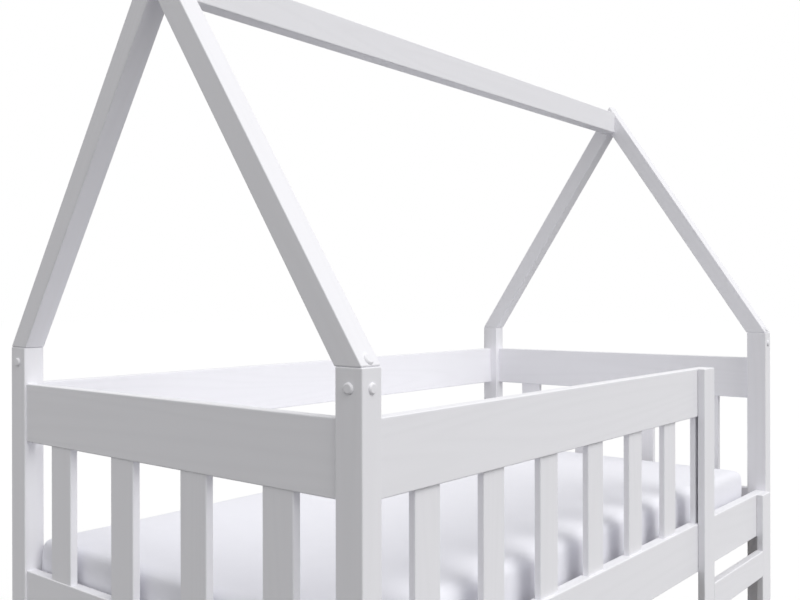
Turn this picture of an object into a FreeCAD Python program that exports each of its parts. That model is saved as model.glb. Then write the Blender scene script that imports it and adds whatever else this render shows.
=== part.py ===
# Raised house bed for a child: four posts under a pitched roof frame, slatted ends and front,
# a board ladder, a slatted base and a loose mattress. Millimetres, +Z up, +X towards the ladder,
# -Y the front. The origin is on the floor, in the middle of the bed's outer box.
import FreeCAD
import Part
import math
import os

Vector = FreeCAD.Vector
ALONG_X = Vector(1, 0, 0)
ALONG_Y = Vector(0, 1, 0)
ALONG_Z = Vector(0, 0, 1)

# Overall size and levels
bed_length = 2100.0
bed_width = 985.5
post_top_height = 1320.5
rail_underside_height = 700.5
guard_rail_drop = 80.5
roof_slope = math.radians(57.55)

# Timber sections
post_along = 49.5
post_across = 53.5
rafter_depth = 47.0
ridge_width = 37.0
ridge_height = 69.0
ridge_drop = 24.0
rail_height = 127.5
rail_thickness = 25.0
rail_setback = 5.0
edge_ease = 2.5

# Guard slats, let into mortises in the rails
front_slat_count = 7
front_slat_width = 75.0
front_slat_thickness = 14.0
first_front_slat_gap = 107.0
end_slat_count = 4
end_slat_width = 70.0
end_slat_thickness = 18.5
end_slat_edge_gap = 93.0
slat_back_inset = 4.5
slat_tongue = 12.0
mortise_gap = 0.15

# Ladder of boards on the front of the rails
ladder_board_width = 77.0
ladder_board_thickness = 18.0
ladder_opening = 436.0
rung_count = 3
rung_height = 77.0
rung_depth = 20.5
top_rung_drop = 42.5

# Slatted base
ledger_width = 25.0
ledger_height = 22.0
ledger_end_gap = 2.0
base_slat_count = 14
base_slat_width = 75.0
base_slat_thickness = 18.0
base_slat_end_gap = 2.0
base_edge_gap = 3.0
strap_width = 25.0
strap_thickness = 1.5
strap_spacing = 420.0
strap_end_inset = 10.0

# Mattress in a fitted sheet, pushed to the left, with room to the rails all round.
# Its outline is drawn in by the edge inset times a share at each level, so that the rim is round
# and the top is crowned.
mattress_left_gap = 4.0
mattress_right_gap = 57.0
mattress_front_gap = 24.75
mattress_rear_gap = 24.75
mattress_thickness = 157.0
mattress_corner = 12.0
mattress_side_draw = 4.0
mattress_edge_inset = 22.0
mattress_level_shares = (0.0, 0.05, 0.12, 0.45, 0.78, 0.861, 0.917, 0.956, 0.98, 0.9915, 0.997, 1.0)
mattress_inset_shares = (0.36, 0.14, 0.02, 0.0, 0.014, 0.07, 0.2, 0.43, 0.75, 1.27, 3.2, 8.2)
rest_gap = 0.3

# Round tenons between the posts and the rafters
tenon_radius = 9.0
tenon_depth = 50.0
tenon_rise = 24.0
tenon_inset = 30.0

# Dowels
rail_dowel_radius = 5.0
rail_dowel_length = 60.0
rail_dowel_inset = 27.0
rung_dowel_radius = 4.0
rung_dowel_length = 46.0
rung_dowel_inset = 19.0
roof_dowel_radius = 5.0
roof_dowel_length = 56.0
mitre_dowel_length = 38.0
ridge_dowel_offset = 10.0
ridge_dowel_drop = 16.0
ridge_screw_lift = 14.0
bore_end_gap = 1.0
bore_gap = 0.1

# Steel plates that hook the side rails into the posts
plate_width = 17.0
plate_edge_gap = 8.0
plate_thickness = 2.5
plate_screw_inset = 8.0
hook_width = 4.0
hook_height = 12.0
hook_nose = 4.0
hook_nose_gap = 0.3
hook_drop = 8.0
hook_spacing = 40.0
hook_screw_gap = 2.0
slot_side_gap = 0.4
slot_top_gap = 1.0
pocket_gap = 1.5

# Countersunk wood screws. A cover is the wood left over a screw's tip.
screw_radius = 2.0
screw_head_radius = 4.0
socket_radius = 1.4
socket_depth = 1.3
plate_screw_length = 20.0
ledger_screw_cover = 8.0
ledger_screw_count = 7
ledger_screw_inset = 100.0
ladder_screw_cover = 6.0
ladder_screw_spacing = 44.0
base_screw_cover = 7.0
base_screw_inset = 12.0

# Pan-head screws under domed caps. The tenon screws stop short of the tenon's axis.
cap_screw_radius = 1.75
cap_screw_head_radius = 3.8
cap_screw_head_height = 2.6
head_side_gap = 0.7
post_cap_drop = 33.0
rafter_cap_lift = 11.5
tenon_screw_stop = 3.0
ridge_screw_bite = 32.0
cap_radius = 9.0
cap_rim = 2.4
cap_height = 3.8
cap_dome_bands = 3
cap_spigot_depth = 1.2
cap_spigot_side_gap = 0.2
cap_spigot_end_gap = 0.2

# Glides under the feet
glide_height = 5.0
glide_ease = 1.5
post_glide_radius = 16.0
ladder_glide_radius = 7.5
glide_nail_radius = 1.5
glide_nail_length = 18.0

# How far a cutting shape runs past the face that it opens
overrun = 5.0

# An edge counts as parallel to a direction within this share of its length
parallel_share = 1e-6

ENDS = {"left": -1, "right": 1}
SIDES = {"front": -1, "rear": 1}

# Levels and faces that the pieces share, as distances from the middle of the bed
half_length = bed_length / 2
half_width = bed_width / 2
post_inner_x = half_length - post_along
post_inner_y = half_width - post_across
post_mid_x = half_length - post_along / 2
post_mid_y = half_width - post_across / 2
rail_face_x = half_length - rail_setback
rail_face_y = half_width - rail_setback
rail_back_x = rail_face_x - rail_thickness
rail_back_y = rail_face_y - rail_thickness
rail_mid_x = rail_face_x - rail_thickness / 2
rail_mid_y = rail_face_y - rail_thickness / 2
lower_rail_z = (rail_underside_height, rail_underside_height + rail_height)
guard_rail_z = (post_top_height - guard_rail_drop - rail_height, post_top_height - guard_rail_drop)
slat_z = (lower_rail_z[1] - slat_tongue, guard_rail_z[0] + slat_tongue)
ledger_z = (rail_underside_height, rail_underside_height + ledger_height)
base_slat_z = (ledger_z[1], ledger_z[1] + base_slat_thickness)
apex_height = post_top_height + half_width * math.tan(roof_slope)
ridge_z = (apex_height - ridge_drop - ridge_height, apex_height - ridge_drop)
ladder_right_x = (post_inner_x - ladder_board_width, post_inner_x)
ladder_left_x = (ladder_right_x[0] - ladder_opening - ladder_board_width, ladder_right_x[0] - ladder_opening)
ladder_y = (-rail_face_y - ladder_board_thickness, -rail_face_y)
top_rung_height = rail_underside_height - top_rung_drop

# Sizes of pieces that fit in, on or through others
mattress_length = 2 * rail_back_x - mattress_left_gap - mattress_right_gap
mattress_width = 2 * rail_back_y - mattress_front_gap - mattress_rear_gap
plate_height = rail_height - 2 * plate_edge_gap
plate_screw_spacing = plate_height - 2 * plate_screw_inset
rail_dowel_spacing = rail_height - 2 * rail_dowel_inset
rung_dowel_spacing = rung_height - 2 * rung_dowel_inset
ledger_screw_length = ledger_width + rail_thickness - ledger_screw_cover
ladder_screw_length = rail_thickness + ladder_board_thickness - ladder_screw_cover
base_screw_length = base_slat_thickness + ledger_height - base_screw_cover
counterbore_radius = cap_screw_head_radius + head_side_gap
counterbore_depth = cap_screw_head_height + cap_spigot_depth + cap_spigot_end_gap
cap_spigot_radius = counterbore_radius - cap_spigot_side_gap
dome_rise = cap_height - cap_rim
dome_radius = (cap_radius ** 2 + dome_rise ** 2) / (2 * dome_rise)
rafter_tenon_reach = (tenon_inset - rafter_cap_lift / math.tan(roof_slope)) / math.sin(roof_slope)
end_face_screw_length = post_along / 2 - counterbore_depth - tenon_screw_stop
side_face_screw_length = tenon_inset - counterbore_depth - tenon_screw_stop
rafter_screw_length = rafter_tenon_reach - counterbore_depth - tenon_screw_stop
ridge_screw_length = post_along + ridge_screw_bite - counterbore_depth

# The ladder stands proud of the front and the caps of the back, so the box's middle is off the bed's
front_reach = -ladder_y[0]
rear_reach = half_width + cap_height
to_origin = Vector(0, (front_reach - rear_reach) / 2, 0)


def middle(span):
    return (span[0] + span[1]) / 2


def around(centre, width):
    return (centre - width / 2, centre + width / 2)


def evenly(first, last, count):
    return [first + (last - first) * i / (count - 1) for i in range(count)]


def block(x, y, z):
    """Box between two bounds on each axis, in any order."""
    low = Vector(min(x), min(y), min(z))
    return Part.makeBox(max(x) - low.x, max(y) - low.y, max(z) - low.z, low)


def rod(start, direction, length, radius):
    return Part.makeCylinder(radius, length, start, direction)


def edges_along(solid, direction):
    """Straight edges of a solid that run along a direction."""
    found = []
    for edge in solid.Edges:
        run = edge.Vertexes[-1].Point - edge.Vertexes[0].Point
        if run.cross(direction).Length < run.Length * parallel_share:
            found.append(edge)
    return found


def eased(solid, direction=None):
    """Round the edges along one direction, or all the edges."""
    edges = edges_along(solid, direction) if direction else solid.Edges
    return solid.makeFillet(edge_ease, edges)


def save(name, *solids):
    """Write one piece, or a group of like pieces, in the part's frame."""
    shape = solids[0] if len(solids) == 1 else Part.makeCompound(list(solids))
    shape.translate(to_origin)
    shape.exportStep("parts/" + name + ".step")


# Screws, caps and dowels, each with the bore that it needs

def screw(point, direction, length):
    """Countersunk screw with its head flush at a point."""
    head_height = screw_head_radius - screw_radius
    head = Part.makeCone(screw_head_radius, screw_radius, head_height, point, direction)
    shank = rod(point + direction * head_height, direction, length - head_height, screw_radius)
    return head.fuse(shank).removeSplitter().cut(rod(point, direction, socket_depth, socket_radius))


def screw_bores(point, direction, length):
    head_height = screw_head_radius - screw_radius
    sink = Part.makeCone(screw_head_radius + bore_gap, screw_radius + bore_gap, head_height, point, direction)
    return [sink, rod(point, direction, length + bore_gap, screw_radius + bore_gap)]


def cap_screw(point, direction, length):
    """Pan-head screw seated at the bottom of a counterbore."""
    seat = point + direction * counterbore_depth
    head = rod(seat - direction * cap_screw_head_height, direction, cap_screw_head_height, cap_screw_head_radius)
    return head.fuse(rod(seat, direction, length, cap_screw_radius))


def cap_screw_bores(point, direction, length):
    mouth = point - direction * overrun
    depth = overrun + counterbore_depth
    bore_length = depth + length + bore_gap
    return [rod(mouth, direction, depth, counterbore_radius),
            rod(mouth, direction, bore_length, cap_screw_radius + bore_gap)]


def dome_point(turn):
    """Point on a cap's dome, at an angle from its top."""
    return Vector(dome_radius * math.sin(turn), 0, cap_height - dome_radius + dome_radius * math.cos(turn))


def screw_cap(point, inward):
    """Cap on a face, domed in bands, with a spigot in the counterbore."""
    rim_turn = math.asin(cap_radius / dome_radius)
    turns = evenly(rim_turn, 0, 2 * cap_dome_bands + 1)
    arcs = []
    for band in range(cap_dome_bands):
        first, bend, last = [dome_point(turn) for turn in turns[2 * band:2 * band + 3]]
        arcs.append(Part.Arc(first, bend, last).toShape())
    foot = Vector(0, 0, -cap_spigot_depth)
    straight = Part.makePolygon([dome_point(0), foot, Vector(cap_spigot_radius, 0, -cap_spigot_depth),
                                 Vector(cap_spigot_radius, 0, 0), Vector(cap_radius, 0, 0), dome_point(rim_turn)])
    outline = Part.Wire(straight.Edges + arcs)
    cap = Part.Face(outline).revolve(Vector(0, 0, 0), ALONG_Z, 360)
    cap.Placement = FreeCAD.Placement(point, FreeCAD.Rotation(ALONG_Z, inward * -1))
    return cap


def dowel(centre, direction, length, radius):
    return rod(centre - direction * (length / 2), direction, length, radius)


def dowel_bore(centre, direction, length, radius):
    return dowel(centre, direction, length + 2 * bore_end_gap, radius + bore_gap)


# Places of the fasteners, shared by the pieces that they hold

def rail_dowel_centres(end, side):
    """Dowels between one post and the two end rails that meet it."""
    places = []
    for rail_z in (lower_rail_z, guard_rail_z):
        for height in around(middle(rail_z), rail_dowel_spacing):
            places.append(Vector(end * rail_mid_x, side * post_inner_y, height))
    return places


def rung_dowel_centres():
    places = []
    for top in rung_tops:
        for height in around(top - rung_height / 2, rung_dowel_spacing):
            for x in (ladder_left_x[1], ladder_right_x[0]):
                places.append(Vector(x, middle(ladder_y), height))
    return places


def ridge_fixings(end, side):
    """Where a dowel and a screw join one rafter to the ridge beam: dowel centre, screw point."""
    y = side * ridge_dowel_offset
    ridge_mid_z = middle(ridge_z)
    dowel_centre = Vector(end * post_inner_x, y, ridge_mid_z - ridge_dowel_drop)
    screw_point = Vector(end * half_length, y, ridge_mid_z + ridge_screw_lift)
    return dowel_centre, screw_point


def mitre_dowel_centre(end):
    return Vector(end * post_mid_x, 0, middle(ridge_z))


def tenon_foot(end, side):
    return Vector(end * post_mid_x, side * (half_width - tenon_inset), post_top_height - tenon_depth)


def tenon_screws(end, side):
    """Screws that pin a tenon: point on the face, inward direction and length of each."""
    cap_z = post_top_height - post_cap_drop
    rafter_point = Vector(end * post_mid_x, side * (half_width - rafter_cap_lift / math.tan(roof_slope)),
                          post_top_height + rafter_cap_lift)
    rafter_inward = Vector(0, -side * math.sin(roof_slope), -math.cos(roof_slope))
    return {
        "post": [(Vector(end * half_length, side * post_mid_y, cap_z), ALONG_X * -end, end_face_screw_length),
                 (Vector(end * post_mid_x, side * half_width, cap_z), ALONG_Y * -side, side_face_screw_length)],
        "rafter": [(rafter_point, rafter_inward, rafter_screw_length)],
    }


def hook_joints(end, side):
    """Heights at which a side rail hooks into a post."""
    has_guard_rail = (end, side) != (ENDS["right"], SIDES["front"])
    return [middle(lower_rail_z)] + ([middle(guard_rail_z)] if has_guard_rail else [])


def plate_screw_points(end, side, height):
    """Heads of the screws of both plates of a joint, in the plane where the plates meet."""
    return [Vector(end * post_inner_x, side * rail_mid_y, z) for z in around(height, plate_screw_spacing)]


def ledger_screw_points(side):
    last = post_inner_x - ledger_screw_inset
    y = side * (rail_back_y - ledger_width)
    return [Vector(x, y, middle(ledger_z)) for x in evenly(-last, last, ledger_screw_count)]


def ladder_screw_points(board_x, rail_z):
    return [Vector(x, -rail_back_y, middle(rail_z)) for x in around(middle(board_x), ladder_screw_spacing)]


def base_screw_points():
    y = rail_back_y - base_slat_end_gap - base_screw_inset
    return [Vector(x, side * y, base_slat_z[1])
            for x in (base_slat_places[0], base_slat_places[-1]) for side in SIDES.values()]


# Places of the repeated boards
front_slat_places = evenly(-post_inner_x + first_front_slat_gap + front_slat_width / 2,
                           middle(ladder_left_x), front_slat_count)
end_slat_reach = post_inner_y - end_slat_edge_gap - end_slat_width / 2
end_slat_places = evenly(-end_slat_reach, end_slat_reach, end_slat_count)
rung_tops = [top_rung_height * (i + 1) / rung_count for i in range(rung_count)]
base_slat_reach = post_inner_x - base_edge_gap - base_slat_width / 2
base_slat_places = evenly(-base_slat_reach, base_slat_reach, base_slat_count)


# Side-rail plates: the hooked plate is let into the rail, the slotted one into the post

def hook_feet(height):
    """Lower edges of the two hooks of a plate, the lower one close above a screw's head."""
    lower = height - plate_screw_spacing / 2 + screw_head_radius + hook_screw_gap + hook_drop
    return [lower + hook_spacing, lower]


def hook_plate(end, side, height):
    joint_x = end * post_inner_x
    y = side * rail_mid_y
    nose_x = joint_x + end * (plate_thickness + hook_nose_gap)
    plate = block((joint_x - end * plate_thickness, joint_x), around(y, plate_width), around(height, plate_height))
    for foot in hook_feet(height):
        neck = block((joint_x, nose_x), around(y, hook_width), (foot, foot + hook_height))
        nose = block((nose_x, nose_x + end * hook_nose), around(y, hook_width),
                     (foot - hook_drop, foot + hook_height))
        plate = plate.fuse([neck, nose])
    bores = []
    for point in plate_screw_points(end, side, height):
        bores += screw_bores(point, ALONG_X * -end, plate_screw_length)
    return plate.removeSplitter().cut(bores)


def slot_plate(end, side, height):
    joint_x = end * post_inner_x
    y = side * rail_mid_y
    plate = block((joint_x, joint_x + end * plate_thickness), around(y, plate_width), around(height, plate_height))
    cuts = []
    for foot in hook_feet(height):
        cuts.append(block((joint_x - end * overrun, joint_x + end * (plate_thickness + overrun)),
                          around(y, hook_width + 2 * slot_side_gap),
                          (foot, foot + hook_height + hook_drop + slot_top_gap)))
    for point in plate_screw_points(end, side, height):
        cuts += screw_bores(point, ALONG_X * end, plate_screw_length)
    return plate.cut(cuts)


def hook_plate_cuts(end, side, height):
    """What the hooked plate and its screws take out of the rail's end."""
    joint_x = end * post_inner_x
    cuts = [block((joint_x - end * plate_thickness, joint_x + end * overrun),
                  around(side * rail_mid_y, plate_width), around(height, plate_height))]
    for point in plate_screw_points(end, side, height):
        cuts += screw_bores(point, ALONG_X * -end, plate_screw_length)
    return cuts


def slot_plate_cuts(end, side, height):
    """What the slotted plate, its screws and the hooks behind it take out of the post."""
    joint_x = end * post_inner_x
    y = side * rail_mid_y
    upper, lower = hook_feet(height)
    pocket_depth = plate_thickness + hook_nose_gap + hook_nose + pocket_gap
    pocket_z = (lower - hook_drop - pocket_gap, upper + hook_height + hook_drop + slot_top_gap)
    cuts = [block((joint_x - end * overrun, joint_x + end * plate_thickness),
                  around(y, plate_width), around(height, plate_height)),
            block((joint_x, joint_x + end * pocket_depth),
                  around(y, hook_width + 2 * pocket_gap), pocket_z)]
    for point in plate_screw_points(end, side, height):
        cuts += screw_bores(point, ALONG_X * end, plate_screw_length)
    return cuts


# Posts and roof

def post(end, side):
    solid = eased(block((end * post_inner_x, end * half_length), (side * post_inner_y, side * half_width),
                        (glide_height, post_top_height)))
    cuts = [rod(tenon_foot(end, side), ALONG_Z, tenon_depth + overrun, tenon_radius + bore_gap),
            glide_nail(end * post_mid_x, side * post_mid_y, bore_gap)]
    for point, inward, length in tenon_screws(end, side)["post"]:
        cuts += cap_screw_bores(point, inward, length)
    for centre in rail_dowel_centres(end, side):
        cuts.append(dowel_bore(centre, ALONG_Y, rail_dowel_length, rail_dowel_radius))
    for height in hook_joints(end, side):
        cuts += slot_plate_cuts(end, side, height)
    return solid.cut(cuts)


def rafter(end, side):
    """Square timber with a level foot on the post and a plumb mitre at the apex."""
    rise = Vector(0, -side * math.cos(roof_slope), math.sin(roof_slope))
    foot_width = rafter_depth / math.sin(roof_slope)
    mitre_height = rafter_depth / math.cos(roof_slope)
    x = end * half_length
    outline = Part.makePolygon([
        Vector(x, side * half_width, post_top_height),
        Vector(x, 0, apex_height),
        Vector(x, 0, apex_height - mitre_height),
        Vector(x, side * (half_width - foot_width), post_top_height),
        Vector(x, side * half_width, post_top_height),
    ])
    timber = Part.Face(outline).extrude(ALONG_X * (-end * post_along))
    foot_edges = [edge for edge in timber.Edges if edge.BoundBox.ZMax < post_top_height + edge_ease]
    solid = timber.makeFillet(edge_ease, edges_along(timber, rise) + foot_edges)
    dowel_centre, screw_point = ridge_fixings(end, side)
    foot = tenon_foot(end, side)
    cuts = [rod(foot, ALONG_Z, tenon_depth + tenon_rise + bore_gap, tenon_radius + bore_gap),
            dowel_bore(dowel_centre, ALONG_X, roof_dowel_length, roof_dowel_radius),
            dowel_bore(mitre_dowel_centre(end), ALONG_Y, mitre_dowel_length, roof_dowel_radius)]
    cuts += cap_screw_bores(screw_point, ALONG_X * -end, ridge_screw_length)
    for point, inward, length in tenon_screws(end, side)["rafter"]:
        cuts += cap_screw_bores(point, inward, length)
    return solid.cut(cuts)


def tenon(end, side):
    solid = rod(tenon_foot(end, side), ALONG_Z, tenon_depth + tenon_rise, tenon_radius)
    cuts = []
    for screws in tenon_screws(end, side).values():
        for point, inward, length in screws:
            cuts += cap_screw_bores(point, inward, length)
    return solid.cut(cuts)


def ridge_beam():
    solid = eased(block((-post_inner_x, post_inner_x), around(0, ridge_width), ridge_z), ALONG_X)
    cuts = []
    for end in ENDS.values():
        for side in SIDES.values():
            dowel_centre, screw_point = ridge_fixings(end, side)
            cuts.append(dowel_bore(dowel_centre, ALONG_X, roof_dowel_length, roof_dowel_radius))
            cuts += cap_screw_bores(screw_point, ALONG_X * -end, ridge_screw_length)
    return solid.cut(cuts)


# Rails and slats

def end_rail(end, rail_z):
    solid = eased(block((end * rail_back_x, end * rail_face_x), (-post_inner_y, post_inner_y), rail_z), ALONG_Y)
    cuts = []
    for side in SIDES.values():
        for centre in rail_dowel_centres(end, side):
            cuts.append(dowel_bore(centre, ALONG_Y, rail_dowel_length, rail_dowel_radius))
    for place in end_slat_places:
        cuts.append(end_slat_block(end, place, mortise_gap))
    return solid.cut(cuts)


def end_slat_block(end, place, gap):
    back_x = rail_back_x + slat_back_inset
    return block((end * (back_x - gap), end * (back_x + end_slat_thickness + gap)),
                 around(place, end_slat_width + 2 * gap), slat_z)


def front_slat_block(place, gap):
    back_y = -rail_back_y - slat_back_inset
    return block(around(place, front_slat_width + 2 * gap),
                 (back_y + gap, back_y - front_slat_thickness - gap), slat_z)


def side_rail(side, x, rail_z):
    """Long rail between two posts, or from a post to a free end, with its hooked plates let in."""
    solid = eased(block(x, (side * rail_back_y, side * rail_face_y), rail_z), ALONG_X)
    cuts = []
    for end in ENDS.values():
        if end * post_inner_x in x:
            cuts += hook_plate_cuts(end, side, middle(rail_z))
    if rail_z == lower_rail_z:
        for point in ledger_screw_points(side):
            cuts += screw_bores(point, ALONG_Y * side, ledger_screw_length)
    if side == SIDES["front"]:
        cuts += [front_slat_block(place, mortise_gap) for place in front_slat_places]
        for board_x in (ladder_left_x, ladder_right_x):
            for point in ladder_screw_points(board_x, rail_z):
                cuts += screw_bores(point, ALONG_Y * -1, ladder_screw_length)
    return solid.cut(cuts)


# Ladder

def ladder_upright(board_x, top, rails):
    """Board from the floor to a height, screwed from behind to the rails that it crosses."""
    solid = eased(block(board_x, ladder_y, (glide_height, top)))
    cuts = [glide_nail(middle(board_x), middle(ladder_y), bore_gap)]
    for rail_z in rails:
        for point in ladder_screw_points(board_x, rail_z):
            cuts += screw_bores(point, ALONG_Y * -1, ladder_screw_length)
    for centre in rung_dowel_centres():
        cuts.append(dowel_bore(centre, ALONG_X, rung_dowel_length, rung_dowel_radius))
    return solid.cut(cuts)


def ladder_rung(top):
    solid = eased(block((ladder_left_x[1], ladder_right_x[0]), (ladder_y[0], ladder_y[0] + rung_depth),
                        (top - rung_height, top)), ALONG_X)
    return solid.cut([dowel_bore(centre, ALONG_X, rung_dowel_length, rung_dowel_radius)
                      for centre in rung_dowel_centres()])


# Base and mattress

def ledger(side):
    reach = post_inner_x - ledger_end_gap
    solid = eased(block((-reach, reach), (side * rail_back_y, side * (rail_back_y - ledger_width)), ledger_z),
                  ALONG_X)
    cuts = []
    for point in ledger_screw_points(side):
        cuts += screw_bores(point, ALONG_Y * side, ledger_screw_length)
    for point in base_screw_points():
        cuts += screw_bores(point, ALONG_Z * -1, base_screw_length)
    return solid.cut(cuts)


def base_slat(place):
    reach = rail_back_y - base_slat_end_gap
    solid = eased(block(around(place, base_slat_width), (-reach, reach), base_slat_z), ALONG_Y)
    cuts = []
    for point in base_screw_points():
        cuts += screw_bores(point, ALONG_Z * -1, base_screw_length)
    return solid.cut(cuts)


def slat_strap(y):
    reach = post_inner_x - base_edge_gap - strap_end_inset
    return block((-reach, reach), around(y, strap_width), (base_slat_z[0] - strap_thickness, base_slat_z[0]))


def mattress_outline(inset, level):
    """Rounded rectangle at a height, with its four sides drawn in between the corners."""
    x = mattress_length / 2 - inset
    y = mattress_width / 2 - inset
    side_x = x - mattress_corner
    side_y = y - mattress_corner
    bend = mattress_corner * math.sin(math.pi / 4)
    edges = []
    for i, j in ((1, 1), (-1, 1), (-1, -1), (1, -1)):
        end_first = i * j > 0
        on_end = Vector(i * x, j * side_y, level)
        on_side = Vector(i * side_x, j * y, level)
        on_bend = Vector(i * (side_x + bend), j * (side_y + bend), level)
        first, last = (on_end, on_side) if end_first else (on_side, on_end)
        edges.append(Part.Arc(first, on_bend, last).toShape())
        if end_first:
            pull = Vector(0, j * (y - mattress_side_draw), level)
            edges.append(Part.Arc(last, pull, Vector(-i * side_x, j * y, level)).toShape())
        else:
            pull = Vector(i * (x - mattress_side_draw), 0, level)
            edges.append(Part.Arc(last, pull, Vector(i * x, -j * side_y, level)).toShape())
    return Part.Wire(edges)


def mattress():
    outlines = [mattress_outline(inset_share * mattress_edge_inset, level_share * mattress_thickness)
                for inset_share, level_share in zip(mattress_inset_shares, mattress_level_shares)]
    solid = Part.makeLoft(outlines, True, True)
    solid.translate(Vector(mattress_left_gap - rail_back_x + mattress_length / 2,
                           rail_back_y - mattress_rear_gap - mattress_width / 2, base_slat_z[1] + rest_gap))
    return solid


# Glides

def glide_nail(x, y, gap):
    return rod(Vector(x, y, 0), ALONG_Z, glide_height + glide_nail_length + gap, glide_nail_radius + gap)


def glide(x, y, radius):
    pad = rod(Vector(x, y, 0), ALONG_Z, glide_height, radius)
    pad = pad.makeFillet(glide_ease, [edge for edge in pad.Edges if edge.BoundBox.ZMax < glide_ease])
    nail = rod(Vector(x, y, glide_height), ALONG_Z, glide_nail_length, glide_nail_radius)
    return pad.fuse(nail)


def build_frame():
    for end_name, end in ENDS.items():
        for side_name, side in SIDES.items():
            corner = side_name + "_" + end_name
            save("post_" + corner, post(end, side))
            save("rafter_" + corner, rafter(end, side))
        save("end_guard_rail_" + end_name, end_rail(end, guard_rail_z))
        save("end_lower_rail_" + end_name, end_rail(end, lower_rail_z))
        for number, place in enumerate(end_slat_places, 1):
            slat = eased(end_slat_block(end, place, 0), ALONG_Z)
            save(end_name + "_end_slat_" + str(number), slat)
    save("ridge_beam", ridge_beam())
    full_x = (-post_inner_x, post_inner_x)
    save("front_guard_rail", side_rail(SIDES["front"], (-post_inner_x, ladder_left_x[1]), guard_rail_z))
    save("rear_guard_rail", side_rail(SIDES["rear"], full_x, guard_rail_z))
    save("front_side_rail", side_rail(SIDES["front"], full_x, lower_rail_z))
    save("rear_side_rail", side_rail(SIDES["rear"], full_x, lower_rail_z))
    for number, place in enumerate(front_slat_places, 1):
        save("front_slat_" + str(number), eased(front_slat_block(place, 0), ALONG_Z))


def build_ladder():
    both_rails = (lower_rail_z, guard_rail_z)
    save("ladder_upright_left", ladder_upright(ladder_left_x, guard_rail_z[1], both_rails))
    save("ladder_upright_right", ladder_upright(ladder_right_x, lower_rail_z[1], both_rails[:1]))
    for number, top in enumerate(rung_tops, 1):
        save("ladder_rung_" + str(number), ladder_rung(top))
    save("rung_dowels", *[dowel(centre, ALONG_X, rung_dowel_length, rung_dowel_radius)
                          for centre in rung_dowel_centres()])
    points = [point for rail_z in both_rails for point in ladder_screw_points(ladder_left_x, rail_z)]
    points += ladder_screw_points(ladder_right_x, lower_rail_z)
    save("ladder_screws", *[screw(point, ALONG_Y * -1, ladder_screw_length) for point in points])
    save("ladder_glides", *[glide(middle(board_x), middle(ladder_y), ladder_glide_radius)
                            for board_x in (ladder_left_x, ladder_right_x)])


def build_base():
    for side_name, side in SIDES.items():
        save("ledger_" + side_name, ledger(side))
    save("base_slats", *[base_slat(place) for place in base_slat_places])
    save("slat_straps", *[slat_strap(y) for y in around(0, strap_spacing)])
    save("ledger_screws", *[screw(point, ALONG_Y * side, ledger_screw_length)
                            for side in SIDES.values() for point in ledger_screw_points(side)])
    save("base_slat_screws", *[screw(point, ALONG_Z * -1, base_screw_length) for point in base_screw_points()])
    save("mattress", mattress())


def build_frame_fixings():
    corners = [(end, side) for end in ENDS.values() for side in SIDES.values()]
    joints = [(end, side, height) for end, side in corners for height in hook_joints(end, side)]
    pins = [pin for end, side in corners for pins in tenon_screws(end, side).values() for pin in pins]
    ridge_pins = [(ridge_fixings(end, side)[1], ALONG_X * -end, ridge_screw_length) for end, side in corners]
    save("rafter_tenons", *[tenon(end, side) for end, side in corners])
    save("rail_dowels", *[dowel(centre, ALONG_Y, rail_dowel_length, rail_dowel_radius)
                          for end, side in corners for centre in rail_dowel_centres(end, side)])
    save("roof_dowels",
         *[dowel(ridge_fixings(end, side)[0], ALONG_X, roof_dowel_length, roof_dowel_radius)
           for end, side in corners],
         *[dowel(mitre_dowel_centre(end), ALONG_Y, mitre_dowel_length, roof_dowel_radius)
           for end in ENDS.values()])
    save("rail_hook_plates", *[hook_plate(*joint) for joint in joints])
    save("rail_slot_plates", *[slot_plate(*joint) for joint in joints])
    save("plate_screws", *[screw(point, ALONG_X * way, plate_screw_length)
                           for end, side, height in joints for way in (end, -end)
                           for point in plate_screw_points(end, side, height)])
    save("tenon_screws", *[cap_screw(*pin) for pin in pins])
    save("ridge_screws", *[cap_screw(*pin) for pin in ridge_pins])
    save("screw_caps", *[screw_cap(point, inward) for point, inward, _ in pins + ridge_pins])
    save("post_glides", *[glide(end * post_mid_x, side * post_mid_y, post_glide_radius) for end, side in corners])


os.makedirs("parts", exist_ok=True)
build_frame()
build_ladder()
build_base()
build_frame_fixings()
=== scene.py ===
# Looks of a raised house bed for a child: painted pine boards, a slatted base, screw caps,
# a mattress in a fitted sheet, and a plain studio around them. Metres, in the frame of the part.
import math

import bmesh
import bpy
from mathutils import Euler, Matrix, Vector, kdtree, noise


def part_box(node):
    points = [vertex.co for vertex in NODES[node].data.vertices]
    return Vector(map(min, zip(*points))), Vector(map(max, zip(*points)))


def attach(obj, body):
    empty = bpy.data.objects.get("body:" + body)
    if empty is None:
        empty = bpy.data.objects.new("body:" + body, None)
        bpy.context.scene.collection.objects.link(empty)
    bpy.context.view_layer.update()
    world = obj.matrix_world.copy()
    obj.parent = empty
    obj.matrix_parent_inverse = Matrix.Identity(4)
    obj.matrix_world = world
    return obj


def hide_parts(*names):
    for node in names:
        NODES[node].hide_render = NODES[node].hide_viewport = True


bl_info = {
    "name": "Raised House Bed",
    "version": (1, 0, 0),
    "blender": (4, 5, 0),
    "location": "View3D > Sidebar > House Bed",
    "description": "Finishes a raised house bed: painted boards, slatted base, screw caps, mattress and studio",
    "category": "Object",
}

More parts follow.
